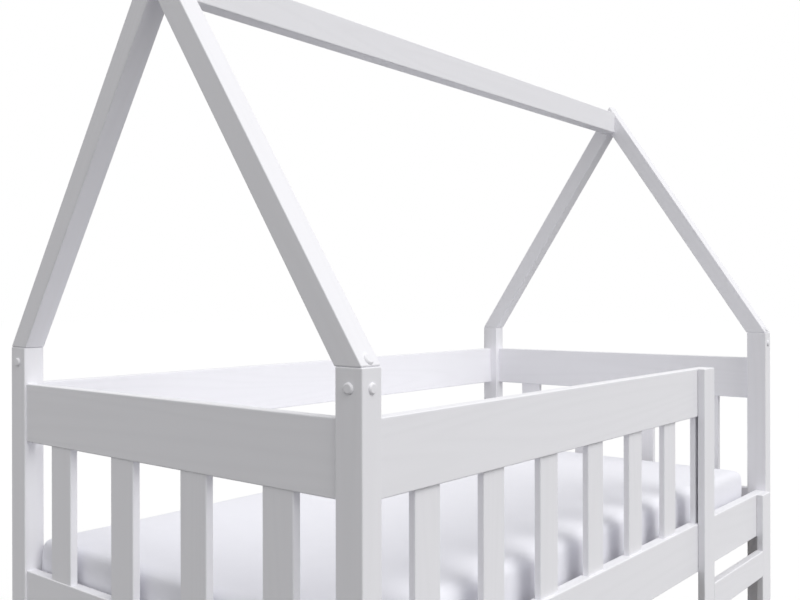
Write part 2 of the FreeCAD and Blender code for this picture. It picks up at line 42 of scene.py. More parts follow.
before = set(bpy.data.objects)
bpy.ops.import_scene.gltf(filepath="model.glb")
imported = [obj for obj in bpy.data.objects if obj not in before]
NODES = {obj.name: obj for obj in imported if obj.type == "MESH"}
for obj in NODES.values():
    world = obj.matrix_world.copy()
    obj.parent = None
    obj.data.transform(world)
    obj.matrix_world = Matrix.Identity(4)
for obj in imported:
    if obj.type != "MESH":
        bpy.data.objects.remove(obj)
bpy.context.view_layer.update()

FRAME_BODY = "bed_frame"
MATTRESS_BODY = "mattress"
CORNERS = [side + "_" + end for end in ("left", "right") for side in ("front", "rear")]
POSTS = ["post_" + corner for corner in CORNERS]
RAFTERS = ["rafter_" + corner for corner in CORNERS]


def middle_of(node):
    low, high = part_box(node)
    return (low + high) / 2


# The roof's slope, read from a rafter's rise over its run
rafter_low, rafter_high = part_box(RAFTERS[0])
ridge_middle_y = middle_of("ridge_beam").y
ROOF_SLOPE = math.atan2(rafter_high.z - rafter_low.z, ridge_middle_y - rafter_low.y)


class Shade:
    """A value in a node tree. Arithmetic on it adds Math nodes."""

    def __init__(self, tree, socket):
        self.tree = tree
        self.socket = socket

    def out(self, name):
        """Another output of the same node."""
        return Shade(self.tree, self.socket.node.outputs[name])

    def math(self, operation, first, second=0.0):
        return self.tree.node("ShaderNodeMath", {"operation": operation}, {0: first, 1: second})

    def __add__(self, other):
        return self.math("ADD", self, other)

    def __radd__(self, other):
        return self.math("ADD", other, self)

    def __sub__(self, other):
        return self.math("SUBTRACT", self, other)

    def __rsub__(self, other):
        return self.math("SUBTRACT", other, self)

    def __mul__(self, other):
        return self.math("MULTIPLY", self, other)

    def __rmul__(self, other):
        return self.math("MULTIPLY", other, self)

    def __truediv__(self, other):
        return self.math("DIVIDE", self, other)

    def __rtruediv__(self, other):
        return self.math("DIVIDE", other, self)

    def __pow__(self, other):
        return self.math("POWER", self, other)

    def __rpow__(self, other):
        return self.math("POWER", other, self)

    def sine(self):
        return self.math("SINE", self)

    def cosine(self):
        return self.math("COSINE", self)

    def at_least(self, other):
        return self.math("MAXIMUM", self, other)

    def above(self, other):
        return self.math("GREATER_THAN", self, other)

    def below(self, other):
        return self.math("LESS_THAN", self, other)


class Tree:
    """A node tree in the making, with one way to add any node."""

    def __init__(self, tree):
        self.tree = tree

    def node(self, kind, settings, inputs, output=0):
        """Add a node, its settings first, then its sockets' values or links, and give one of its outputs."""
        node = self.tree.nodes.new(kind)
        for key, value in settings.items():
            if key == "stops":
                ramp = node.color_ramp.elements
                while len(ramp) < len(value):
                    ramp.new(1.0)
                for element, (position, colour) in zip(ramp, value):
                    element.position = position
                    element.color = colour
            else:
                setattr(node, key, value)
        for key, value in inputs.items():
            if isinstance(value, Shade):
                self.tree.links.new(value.socket, node.inputs[key])
            else:
                node.inputs[key].default_value = value
        return Shade(self, node.outputs[output]) if node.outputs else None


class Finish(Tree):
    """A material in the making, with its surface shader."""

    def __init__(self, name, constants):
        self.material = bpy.data.materials.new(name)
        self.material.use_nodes = True
        super().__init__(self.material.node_tree)
        self.surface = self.tree.nodes["Principled BSDF"]
        for socket, value in constants.items():
            self.surface.inputs[socket].default_value = value

    def place(self):
        """The piece's own coordinates, in metres."""
        return self.node("ShaderNodeTexCoord", {}, {}, "Object")

    def turned(self, vector, rotation):
        return self.node("ShaderNodeMapping", {"vector_type": "POINT"},
                         {"Vector": vector, "Rotation": rotation})

    def scaled(self, vector, scale):
        return self.node("ShaderNodeVectorMath", {"operation": "MULTIPLY"}, {0: vector, 1: scale})

    def speckle(self, vector, scale, detail=2.0):
        return self.node("ShaderNodeTexNoise", {}, {"Vector": vector, "Scale": scale, "Detail": detail})

    def blend(self, factor, first, second):
        """A colour between two colours."""
        return self.node("ShaderNodeMix", {"data_type": "RGBA"}, {0: factor, 6: first, 7: second}, 2)

    def bump(self, height, distance, strength=1.0):
        return self.node("ShaderNodeBump", {}, {"Height": height, "Distance": distance, "Strength": strength})

    def feed(self, socket, value):
        self.tree.links.new(value.socket, self.surface.inputs[socket])


def colour(rgb, factor=1.0):
    return (rgb[0] * factor, rgb[1] * factor, rgb[2] * factor, 1.0)


# Timber: how often a pattern repeats in a metre, and how much each pattern counts

RING_SHARPNESS = 2.0
PAINT_CLOUD_SCALE = 7.0
PAINT_PEEL_SCALE = 420.0
PAINT_TONE_SHARES = {"rings": 0.35, "fibres": 0.4, "cloud": 0.25}
PAINT_RELIEF_SHARES = {"rings": 0.6, "fibres": 0.35, "peel": 0.06}
PAINT_GLOSS_SPREAD = 0.12
BARE_CLOUD_SCALE = 5.0
BARE_TONE_SHARES = {"rings": 0.6, "fibres": 0.25, "cloud": 0.15}
BARE_RELIEF_SHARES = {"rings": 0.4, "fibres": 0.6}
BARE_ROUGHNESS = 0.5
BARE_GLOSS_SPREAD = 0.2
KNOT_SCALE = (2.2, 7.0, 7.0)
KNOT_STOPS = [(0.03, (1, 1, 1, 1)), (0.11, (0, 0, 0, 1))]
KNOT_STRENGTH = 0.8

# Rotation that lays a board's length along x
BOARD_TURNS = {
    "x": (0.0, 0.0, 0.0),
    "y": (0.0, 0.0, -math.pi / 2),
    "z": (0.0, math.pi / 2, 0.0),
    "front_slope": (-ROOF_SLOPE, 0.0, -math.pi / 2),
    "rear_slope": (ROOF_SLOPE, 0.0, -math.pi / 2),
}


def weighed(shares, **values):
    """Sum of values, each times its share."""
    return sum((values[name] * share for name, share in shares.items()), 0.0)


def board_grain(finish, along, ring_count):
    """Growth rings and fibres of a board: values from 0 to 1 that run along its length."""
    settings = bpy.context.scene.bed_timber
    turned = finish.turned(finish.place(), BOARD_TURNS[along])
    broad = finish.scaled(turned, (settings.ring_stretch, 1.0, 1.0))
    field = finish.speckle(broad, settings.ring_scale, detail=1.0)
    wave = (field * (2 * math.pi * ring_count)).sine()
    rings = (wave * 0.5 + 0.5) ** RING_SHARPNESS
    fine = finish.scaled(turned, (settings.fibre_stretch, 1.0, 1.0))
    fibres = finish.speckle(fine, settings.fibre_scale, detail=3.0)
    return turned, rings, fibres


def painted_pine(along):
    """Satin white paint, with the grain telegraphing through it."""
    settings = bpy.context.scene.bed_timber
    finish = Finish("white_painted_pine_" + along, {"Specular IOR Level": 0.4})
    turned, rings, fibres = board_grain(finish, along, settings.paint_ring_count)
    cloud = finish.speckle(turned, PAINT_CLOUD_SCALE)
    tone = weighed(PAINT_TONE_SHARES, rings=rings, fibres=fibres, cloud=cloud)
    light = colour(settings.paint)
    shade = colour(settings.paint, 1.0 - settings.paint_variation)
    finish.feed("Base Color", finish.blend(tone, light, shade))
    least_roughness = settings.paint_roughness - PAINT_GLOSS_SPREAD / 2
    finish.feed("Roughness", fibres * PAINT_GLOSS_SPREAD + least_roughness)
    peel = finish.speckle(turned, PAINT_PEEL_SCALE, detail=1.0)
    relief = weighed(PAINT_RELIEF_SHARES, rings=rings, fibres=fibres, peel=peel)
    finish.feed("Normal", finish.bump(relief, settings.paint_relief))
    return finish.material


def bare_pine(along):
    """Planed pine with growth rings and a few knots."""
    settings = bpy.context.scene.bed_timber
    finish = Finish("bare_pine_" + along, {"Specular IOR Level": 0.3})
    turned, rings, fibres = board_grain(finish, along, settings.bare_ring_count)
    knot_place = finish.scaled(turned, KNOT_SCALE)
    knot_distance = finish.node("ShaderNodeTexVoronoi", {}, {"Vector": knot_place, "Scale": 1.0})
    knot = finish.node("ShaderNodeValToRGB", {"stops": KNOT_STOPS}, {"Fac": knot_distance})
    cloud = finish.speckle(turned, BARE_CLOUD_SCALE)
    share = weighed(BARE_TONE_SHARES, rings=rings, fibres=fibres, cloud=cloud)
    tone = finish.blend(share, colour(settings.early_wood), colour(settings.late_wood))
    finish.feed("Base Color", finish.blend(knot * KNOT_STRENGTH, tone, colour(settings.knot)))
    finish.feed("Roughness", fibres * BARE_GLOSS_SPREAD + BARE_ROUGHNESS)
    relief = weighed(BARE_RELIEF_SHARES, rings=rings, fibres=fibres)
    finish.feed("Normal", finish.bump(relief, settings.bare_relief))
    return finish.material


def dress(nodes, material):
    for name in nodes:
        slots = NODES[name].data.materials
        slots.clear()
        slots.append(material)


class TimberSettings(bpy.types.PropertyGroup):
    """Paint and wood of the boards."""

    paint: bpy.props.FloatVectorProperty(
        name="Paint", description="Colour of the satin paint", subtype="COLOR", default=(0.915, 0.911, 0.946))
    paint_variation: bpy.props.FloatProperty(
        name="Paint variation", description="How much darker the paint is over the grain", default=0.035)
    paint_roughness: bpy.props.FloatProperty(
        name="Paint roughness", description="Gloss of the paint", subtype="FACTOR", default=0.46)
    paint_relief: bpy.props.FloatProperty(
        name="Paint relief", description="Depth of the grain under the paint", subtype="DISTANCE",
        default=0.00012)
    paint_ring_count: bpy.props.FloatProperty(
        name="Painted rings", description="Growth rings across the painted boards", default=16.0)
    bare_ring_count: bpy.props.FloatProperty(
        name="Bare rings", description="Growth rings across the bare boards", default=16.0)
    ring_scale: bpy.props.FloatProperty(
        name="Ring scale", description="Growth rings turn this often in a metre across a board", default=7.0)
    ring_stretch: bpy.props.FloatProperty(
        name="Ring stretch", description="Share of that along a board", default=0.07)
    fibre_scale: bpy.props.FloatProperty(
        name="Fibre scale", description="Fibres in a metre across a board", default=420.0)
    fibre_stretch: bpy.props.FloatProperty(
        name="Fibre stretch", description="Share of that along a board", default=0.02)
    early_wood: bpy.props.FloatVectorProperty(
        name="Early wood", description="Colour between the rings", subtype="COLOR", default=(0.80, 0.67, 0.48))
    late_wood: bpy.props.FloatVectorProperty(
        name="Late wood", description="Colour of the rings", subtype="COLOR", default=(0.66, 0.48, 0.29))
    knot: bpy.props.FloatVectorProperty(
        name="Knots", description="Colour of the knots", subtype="COLOR", default=(0.23, 0.11, 0.045))
    bare_relief: bpy.props.FloatProperty(
        name="Bare relief", description="Depth of the bare grain", subtype="DISTANCE", default=0.0004)


BOARDS_ALONG_X = ["ridge_beam", "front_guard_rail", "rear_guard_rail", "front_side_rail", "rear_side_rail",
                  "ladder_rung_1", "ladder_rung_2", "ladder_rung_3"]
BOARDS_ALONG_Y = [level + "_rail_" + end for level in ("end_guard", "end_lower") for end in ("left", "right")]
BOARDS_ALONG_Z = (POSTS + ["ladder_upright_left", "ladder_upright_right"]
                  + sorted(name for name in NODES if "_slat_" in name and "screw" not in name))


class PaintBoards(bpy.types.Operator):
    """Paint the posts, rafters, rails, guard slats and ladder"""

    bl_idname = "house_bed.paint_boards"
    bl_label = "Paint Boards"

    def execute(self, context):
        dress(BOARDS_ALONG_X, painted_pine("x"))
        dress(BOARDS_ALONG_Y, painted_pine("y"))
        dress(BOARDS_ALONG_Z, painted_pine("z"))
        for side in ("front", "rear"):
            dress([name for name in RAFTERS if side in name], painted_pine(side + "_slope"))
        return {"FINISHED"}


class FinishBase(bpy.types.Operator):
    """Give the ledgers their paint, and the slats, dowels and straps their bare wood and webbing"""

    bl_idname = "house_bed.finish_base"
    bl_label = "Finish Base"

    def execute(self, context):
        dress(["ledger_front", "ledger_rear"], painted_pine("x"))
        dress(["roof_dowels", "rung_dowels"], bare_pine("x"))
        dress(["base_slats", "rail_dowels"], bare_pine("y"))
        dress(["rafter_tenons"], bare_pine("z"))
        dress(["slat_straps"], webbing())
        return {"FINISHED"}


WEBBING_THREADS = {"Y": 200.0, "X": 120.0}
WEBBING_COLOURS = ((0.7, 0.69, 0.66, 1.0), (0.88, 0.87, 0.84, 1.0))
WEBBING_ROUGHNESS = 0.9
WEBBING_GLOSS_SPREAD = 0.2
WEBBING_RELIEF = 0.0004
ZINC_COLOURS = ((0.58, 0.59, 0.61, 1.0), (0.74, 0.75, 0.77, 1.0))
ZINC_SPANGLE_SCALE = 900.0
ZINC_ROUGHNESS = 0.25
ZINC_GLOSS_SPREAD = 0.25
ZINC_RELIEF = 0.00005
PLASTIC_GRAIN_SCALE = 1500.0
PLASTIC_GLOSS_SPREAD = 0.1
PLASTIC_RELIEF = 0.00003
GLIDE_COLOURS = ((0.5, 0.5, 0.51, 1.0), (0.42, 0.42, 0.43, 1.0))
GLIDE_ROUGHNESS = 0.5
CAP_COLOURS = ((0.915, 0.911, 0.946, 1.0), (0.88, 0.877, 0.91, 1.0))
CAP_ROUGHNESS = 0.34


def webbing():
    """Woven polyester strap."""
    finish = Finish("strap_webbing", {"Specular IOR Level": 0.25})
    place = finish.place()
    across, along = (
        finish.node("ShaderNodeTexWave", {"bands_direction": axis}, {"Vector": place, "Scale": scale})
        for axis, scale in WEBBING_THREADS.items())
    weave = across * along
    finish.feed("Base Color", finish.blend(weave, *WEBBING_COLOURS))
    finish.feed("Roughness", WEBBING_ROUGHNESS - weave * WEBBING_GLOSS_SPREAD)
    finish.feed("Normal", finish.bump(weave, WEBBING_RELIEF))
    return finish.material


def zinc_steel():
    """Zinc-plated steel with a faint spangle."""
    finish = Finish("zinc_steel", {"Metallic": 1.0})
    spangle = finish.speckle(finish.place(), ZINC_SPANGLE_SCALE)
    finish.feed("Base Color", finish.blend(spangle, *ZINC_COLOURS))
    finish.feed("Roughness", spangle * ZINC_GLOSS_SPREAD + ZINC_ROUGHNESS)
    finish.feed("Normal", finish.bump(spangle, ZINC_RELIEF))
    return finish.material


def moulded_plastic(name, colours, roughness):
    """Plastic with the fine grain of its mould."""
    finish = Finish(name, {})
    grain = finish.speckle(finish.place(), PLASTIC_GRAIN_SCALE)
    finish.feed("Base Color", finish.blend(grain, *colours))
    finish.feed("Roughness", grain * PLASTIC_GLOSS_SPREAD + roughness)
    finish.feed("Normal", finish.bump(grain, PLASTIC_RELIEF))
    return finish.material


class FinishFixings(bpy.types.Operator):
    """Give the plates, screws and glides their metal and plastic"""

    bl_idname = "house_bed.finish_fixings"
    bl_label = "Finish Fixings"

    def execute(self, context):
        dress(["rail_hook_plates", "rail_slot_plates", "plate_screws", "tenon_screws", "ridge_screws",
               "ledger_screws", "ladder_screws", "base_slat_screws"], zinc_steel())
        glides = moulded_plastic("glide_plastic", GLIDE_COLOURS, GLIDE_ROUGHNESS)
        dress(["post_glides", "ladder_glides"], glides)
        return {"FINISHED"}


# Screw caps

class CapSettings(bpy.types.PropertyGroup):
    """Size and places of the screw caps."""

    radius: bpy.props.FloatProperty(
        name="Radius", description="Radius of a cap", subtype="DISTANCE", default=0.0094)
    height: bpy.props.FloatProperty(
        name="Height", description="How far a cap stands off the wood", subtype="DISTANCE", default=0.0036)
    face: bpy.props.FloatProperty(
        name="Face", description="Share of the radius that is the flat face", subtype="FACTOR", default=0.76)
    wall: bpy.props.FloatProperty(
        name="Wall", description="Share of the height that is the upright rim", subtype="FACTOR", default=0.35)
    post_drop: bpy.props.FloatProperty(
        name="Post drop", description="Cap below a post's top", subtype="DISTANCE", default=0.033)
    rafter_lift: bpy.props.FloatProperty(
        name="Rafter lift", description="Cap above a rafter's foot", subtype="DISTANCE", default=0.0115)
    ridge_offset: bpy.props.FloatProperty(
        name="Ridge offset", description="Caps each side of the ridge's middle", subtype="DISTANCE",
        default=0.010)
    ridge_lift: bpy.props.FloatProperty(
        name="Ridge lift", description="Caps above the ridge's middle", subtype="DISTANCE", default=0.014)


def cap_places(settings):
    """Point on the wood under each cap and the direction that the cap faces."""
    places = []
    ridge = middle_of("ridge_beam")
    for corner in CORNERS:
        low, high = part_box("post_" + corner)
        middle = (low + high) / 2
        end = 1 if "right" in corner else -1
        side = 1 if "rear" in corner else -1
        end_x = high.x if end > 0 else low.x
        side_y = high.y if side > 0 else low.y
        cap_z = high.z - settings.post_drop
        places.append((Vector((end_x, middle.y, cap_z)), Vector((end, 0, 0))))
        places.append((Vector((middle.x, side_y, cap_z)), Vector((0, side, 0))))
        run = settings.rafter_lift / math.tan(ROOF_SLOPE)
        places.append((Vector((middle.x, side_y - side * run, high.z + settings.rafter_lift)),
                       Vector((0, side * math.sin(ROOF_SLOPE), math.cos(ROOF_SLOPE)))))
        places.append((Vector((end_x, ridge.y + side * settings.ridge_offset, ridge.z + settings.ridge_lift)),
                       Vector((end, 0, 0))))
    return places


# A cap is the upper half of a ball pressed flat: the ball's faces, and where its middle and its rim begin
BALL_SEGMENTS = 40
BALL_RINGS = 26
BALL_MIDDLE = 0.01
RIM_REACH_SHARE = 0.98
RIM_RISE_SHARE = 0.02


def cap_tree():
    """Geometry nodes that put a cap with a bevelled rim on each point, facing along the point's direction."""
    group = bpy.data.node_groups.new("screw_cap_tree", "GeometryNodeTree")
    group.interface.new_socket("Geometry", in_out="INPUT", socket_type="NodeSocketGeometry")
    for name in ("Radius", "Height", "Face", "Wall"):
        group.interface.new_socket(name, in_out="INPUT", socket_type="NodeSocketFloat")
    group.interface.new_socket("Material", in_out="INPUT", socket_type="NodeSocketMaterial")
    group.interface.new_socket("Geometry", in_out="OUTPUT", socket_type="NodeSocketGeometry")
    tree = Tree(group)
    given = tree.node("NodeGroupInput", {}, {})
    radius, height, face, wall = (given.out(name) for name in ("Radius", "Height", "Face", "Wall"))
    ball = tree.node("GeometryNodeMeshUVSphere", {},
                     {"Segments": BALL_SEGMENTS, "Rings": BALL_RINGS, "Radius": 1.0}, "Mesh")
    split = tree.node("ShaderNodeSeparateXYZ", {}, {0: tree.node("GeometryNodeInputPosition", {}, {})})
    x, y, up = split.out("X"), split.out("Y"), split.out("Z")
    spread = (x * x + y * y) ** 0.5
    bevel = (spread - face).at_least(0.0) / (1.0 - face)
    rise = (1.0 - bevel * (1.0 - wall)) * up.above(BALL_MIDDLE)
    shaped = tree.node("ShaderNodeCombineXYZ", {}, {"X": x * radius, "Y": y * radius, "Z": rise * height})
    cap = tree.node("GeometryNodeSetPosition", {}, {"Geometry": ball, "Position": shaped})
    smooth = tree.node("GeometryNodeSetShadeSmooth", {"domain": "FACE"}, {0: cap, 2: True})
    rim = spread.above(radius * RIM_REACH_SHARE) * up.below(height * RIM_RISE_SHARE)
    crisp = tree.node("GeometryNodeSetShadeSmooth", {"domain": "EDGE"}, {0: smooth, 1: rim, 2: False})
    facing = tree.node("GeometryNodeInputNamedAttribute", {"data_type": "FLOAT_VECTOR"}, {"Name": "facing"})
    turn = tree.node("FunctionNodeAlignRotationToVector", {"axis": "Z"}, {"Vector": facing})
    caps = tree.node("GeometryNodeInstanceOnPoints", {},
                     {"Points": given.out("Geometry"), "Instance": crisp, "Rotation": turn})
    solid = tree.node("GeometryNodeRealizeInstances", {}, {0: caps})
    done = tree.node("GeometryNodeSetMaterial", {}, {"Geometry": solid, "Material": given.out("Material")})
    tree.node("NodeGroupOutput", {}, {"Geometry": done})
    return group


def fixed_mesh(carrier, name):
    """Plain mesh of an object as its modifiers leave it."""
    depsgraph = bpy.context.evaluated_depsgraph_get()
    mesh = bpy.data.meshes.new_from_object(carrier.evaluated_get(depsgraph), depsgraph=depsgraph)
    mesh.name = name
    return mesh


def new_object(name, data):
    made = bpy.data.objects.new(name, data)
    bpy.context.scene.collection.objects.link(made)
    return made


class FitCaps(bpy.types.Operator):
    """Put the caps over the screws of the posts, rafters and ridge"""

    bl_idname = "house_bed.fit_caps"
    bl_label = "Fit Caps"

    def execute(self, context):
        settings = context.scene.bed_caps
        places = cap_places(settings)
        points = bpy.data.meshes.new("cap_points")
        points.from_pydata([place for place, _ in places], [], [])
        facing = points.attributes.new("facing", "FLOAT_VECTOR", "POINT")
        for item, (_, direction) in zip(facing.data, places):
            item.vector = direction
        carrier = new_object("cap_points", points)
        plastic = moulded_plastic("white_caps", CAP_COLOURS, CAP_ROUGHNESS)
        modifier = carrier.modifiers.new("caps", "NODES")
        tree = cap_tree()
        modifier.node_group = tree
        values = {"Radius": settings.radius, "Height": settings.height, "Face": settings.face,
                  "Wall": settings.wall, "Material": plastic}
        for item in tree.interface.items_tree:
            if item.in_out == "INPUT" and item.name in values:
                modifier[item.identifier] = values[item.name]
        caps = new_object("screw_cap_domes", fixed_mesh(carrier, "screw_cap_domes"))
        bpy.data.objects.remove(carrier)
        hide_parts("screw_caps")
        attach(caps, FRAME_BODY)
        return {"FINISHED"}


# Mattress

class MattressSettings(bpy.types.PropertyGroup):
    """Mattress and its fitted sheet."""

    mesh_size: bpy.props.FloatProperty(
        name="Mesh size", description="Size of the sheet's even mesh", subtype="DISTANCE", default=0.008)
    fill_mesh_size: bpy.props.FloatProperty(
        name="Fill mesh size", description="Size of the mesh that is filled", subtype="DISTANCE", default=0.018)
    draw_in: bpy.props.FloatProperty(
        name="Draw in", description="How much smaller the cover starts", subtype="DISTANCE", default=0.0005)
    pressure: bpy.props.FloatProperty(name="Pressure", description="Pressure of the filling", default=4.0)
    fill_frames: bpy.props.IntProperty(
        name="Fill frames", description="Frames that the filling takes", default=20)
    side_reach: bpy.props.FloatProperty(
        name="Side reach", description="Most that a side may swell", subtype="DISTANCE", default=0.002)
    top_reach: bpy.props.FloatProperty(
        name="Top reach", description="Most that the top may swell", subtype="DISTANCE", default=0.003)
    foot_sag: bpy.props.FloatProperty(
        name="Foot sag", description="How much lower the top is at the ladder's end", subtype="DISTANCE",
        default=0.006)
    foot_reach: bpy.props.FloatProperty(
        name="Foot reach", description="How much fuller the ladder's end is", subtype="DISTANCE", default=0.007)
    ripple: bpy.props.FloatProperty(
        name="Ripple", description="Depth of the broad waves of the sheet", subtype="DISTANCE", default=0.0012)
    crumple: bpy.props.FloatProperty(
        name="Crumple", description="Depth of the soft dents in the sides", subtype="DISTANCE", default=0.0014)
    gather: bpy.props.FloatProperty(
        name="Gather", description="Depth of the gathers at the corners", subtype="DISTANCE", default=0.001)
    shoulder: bpy.props.FloatProperty(
        name="Shoulder", description="Radius of the soft top edge", subtype="DISTANCE", default=0.042)
    sheet: bpy.props.FloatVectorProperty(
        name="Sheet", description="Colour of the fitted sheet", subtype="COLOR", default=(0.92, 0.92, 0.975))


KNIT_SCALE = (2600.0, 2600.0, 2600.0)
MOTTLE_SCALE = 28.0
SLUB_SCALE = 500.0
SLUB_STRETCH = (1.0, 0.15, 1.0)
SHEET_SHADE_SHARE = 0.95
SHEET_TONE_SHARES = {"mottle": 0.5, "slub": 0.3, "knit": 0.06}
SHEET_LEAST_TONE = 0.1
SHEET_ROUGHNESS = 0.82
SHEET_GLOSS_SPREAD = 0.12
SHEET_RELIEF_SHARES = {"knit": 0.25, "slub": 0.5}
SHEET_RELIEF = 0.0002
WELD_DISTANCE = 0.00001
NEAR_POINTS = 6
NEAR_SOFTNESS = 0.001


def fitted_sheet(settings):
    """Fine cotton jersey with a faint mottle."""
    finish = Finish("mattress_sheet", {"Specular IOR Level": 0.2, "Sheen Weight": 0.15, "Sheen Roughness": 0.5})
    place = finish.place()
    split = finish.node("ShaderNodeSeparateXYZ", {}, {0: finish.scaled(place, KNIT_SCALE)})
    x, y, z = split.out("X"), split.out("Y"), split.out("Z")
    knit = x.sine() * y.cosine() + y.sine() * z.cosine() + z.sine() * x.cosine()
    mottle = finish.speckle(place, MOTTLE_SCALE, detail=4.0)
    slub = finish.speckle(finish.scaled(place, SLUB_STRETCH), SLUB_SCALE)
    tone = weighed(SHEET_TONE_SHARES, mottle=mottle, slub=slub, knit=knit) + SHEET_LEAST_TONE
    light = colour(settings.sheet)
    shade = colour(settings.sheet, SHEET_SHADE_SHARE)
    finish.feed("Base Color", finish.blend(tone, light, shade))
    finish.feed("Roughness", slub * SHEET_GLOSS_SPREAD + SHEET_ROUGHNESS)
    relief = weighed(SHEET_RELIEF_SHARES, knit=knit, slub=slub)
    finish.feed("Normal", finish.bump(relief, SHEET_RELIEF))
    return finish.material


def even_shell(settings, mesh_size):
    """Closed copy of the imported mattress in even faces, a little drawn in."""
    mesh = NODES["mattress"].data.copy()
    build = bmesh.new()
    build.from_mesh(mesh)
    bmesh.ops.remove_doubles(build, verts=build.verts, dist=WELD_DISTANCE)
    build.to_mesh(mesh)
    build.free()
    carrier = new_object("mattress_core", mesh)
    remesh = carrier.modifiers.new("even", "REMESH")
    remesh.mode = "VOXEL"
    remesh.voxel_size = mesh_size
    smooth = carrier.modifiers.new("smooth", "SMOOTH")
    smooth.factor = 0.5
    smooth.iterations = 2
    wrap = carrier.modifiers.new("wrap", "SHRINKWRAP")
    wrap.wrap_method = "NEAREST_SURFACEPOINT"
    wrap.target = NODES["mattress"]
    shell = fixed_mesh(carrier, "mattress_cover")
    bpy.data.objects.remove(carrier)
    normals = [vertex.normal.copy() for vertex in shell.vertices]
    for vertex, normal in zip(shell.vertices, normals):
        vertex.co -= normal * settings.draw_in
    return shell


def fill(cover, settings):
    """Blow up a coarse core with cloth pressure and carry its swelling, within its reach, to the cover."""
    scene = bpy.context.scene
    core = new_object("mattress_core", even_shell(settings, settings.fill_mesh_size))
    modifier = core.modifiers.new("fill", "CLOTH")
    cloth = modifier.settings
    cloth.quality = 5
    cloth.use_pressure = True
    cloth.uniform_pressure_force = settings.pressure
    cloth.effector_weights.gravity = 0.0
    modifier.point_cache.frame_start = 1
    modifier.point_cache.frame_end = settings.fill_frames
    for number in range(1, settings.fill_frames + 1):
        scene.frame_set(number)
    swollen = fixed_mesh(core, "mattress_swollen")
    scene.frame_set(1)
    moves = []
    nearby = kdtree.KDTree(len(swollen.vertices))
    for before, after in zip(core.data.vertices, swollen.vertices):
        reach = settings.side_reach + (settings.top_reach - settings.side_reach) * max(before.normal.z, 0.0)
        move = after.co - before.co
        if move.length > reach:
            move = move * (reach / move.length)
        moves.append(move)
        nearby.insert(before.co, before.index)
    nearby.balance()
    for vertex in cover.data.vertices:
        found = [(moves[index], 1.0 / (distance + NEAR_SOFTNESS))
                 for _, index, distance in nearby.find_n(vertex.co, NEAR_POINTS)]
        total = sum(weight for _, weight in found)
        vertex.co += sum((move * weight for move, weight in found), Vector()) / total
    bpy.data.objects.remove(core)
    bpy.data.meshes.remove(swollen)


def smooth_step(value, low, high):
    share = min(max((value - low) / (high - low), 0.0), 1.0)
    return share * share * (3 - 2 * share)


# Where the sheet's soft forms begin and end, in metres
RIM = 0.06
FADE = 0.03
SHOULDER_REAR = 0.1
SHOULDER_RIGHT = 0.6
SHOULDER_FADE_SHARE = 0.6
SAG_START = 0.2
GATHER_START = 0.02
GATHER_TOP = 0.012
PLEAT_COUNT = 38
PLEAT_WANDER = 2.2

# How often the sheet's noise repeats in a metre along each axis, and where in it the waves are read
BROAD_WAVE_SCALE = (2.4, 3.4, 0.0)
BROAD_WAVE_LAYER = 0.7
BROAD_WAVE_SHARE = 0.7
FINE_WAVE_SCALE = (7.0, 5.0, 0.0)
FINE_WAVE_LAYER = 4.1
FINE_WAVE_SHARE = 0.3
PLEAT_NOISE_SCALE = (9.0, 9.0, 9.0)
DENT_SCALE = (11.0, 11.0, 16.0)


def noise_at(place, scale, layer=0.0):
    return noise.noise(place * Vector(scale) + Vector((0.0, 0.0, layer)))


def round_shoulder(place, low, high, radius):
    """Keep a point inside the soft edge that the top has along its front and its left end."""
    inset, axis = min((place.y - low.y, 1), (place.x - low.x, 0))
    fade = max(smooth_step(place.y, SHOULDER_REAR, high.y), smooth_step(place.x, SHOULDER_RIGHT, high.x))
    radius *= 1 - SHOULDER_FADE_SHARE * fade
    across = radius - inset
    above = place.z - (high.z - radius)
    reach = math.hypot(across, above)
    if across > 0 and above > 0 and reach > radius:
        place[axis] += across * (1 - radius / reach)
        place.z -= above * (1 - radius / reach)


def lay_sheet(cover, settings):
    """Sag, broad waves and corner gathers of the fitted sheet, and the flat underside on the slats."""
    low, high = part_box("mattress")
    normals = [vertex.normal.copy() for vertex in cover.data.vertices]
    for vertex, normal in zip(cover.data.vertices, normals):
        place = vertex.co
        lift = smooth_step(place.z, low.z + FADE, high.z - FADE)
        foot = smooth_step(place.x, SAG_START, high.x)
        wave = (noise_at(place, BROAD_WAVE_SCALE, BROAD_WAVE_LAYER) * BROAD_WAVE_SHARE
                + noise_at(place, FINE_WAVE_SCALE, FINE_WAVE_LAYER) * FINE_WAVE_SHARE)
        round_shoulder(place, low, high, settings.shoulder)
        place.z += lift * (wave * settings.ripple - foot * settings.foot_sag)
        reach_x = min(place.x - low.x, high.x - place.x)
        reach_y = min(place.y - low.y, high.y - place.y)
        corner = ((1 - smooth_step(reach_x, GATHER_START, 4 * RIM))
                  * (1 - smooth_step(reach_y, GATHER_START, 4 * RIM)))
        turn = math.atan2(reach_y + RIM, reach_x + RIM)
        wander = PLEAT_WANDER * noise_at(place, PLEAT_NOISE_SCALE)
        pleat = 0.5 + 0.5 * math.sin(turn * PLEAT_COUNT + wander)
        below = 1 - smooth_step(place.z, low.z + FADE, high.z - GATHER_TOP)
        dent = 0.5 + 0.5 * noise_at(place, DENT_SCALE)
        side = 1 - abs(normal.z)
        place -= normal * (pleat * corner * below * settings.gather + dent * side * settings.crumple)
        place.x += foot * settings.foot_reach
        place.z = max(place.z, low.z)


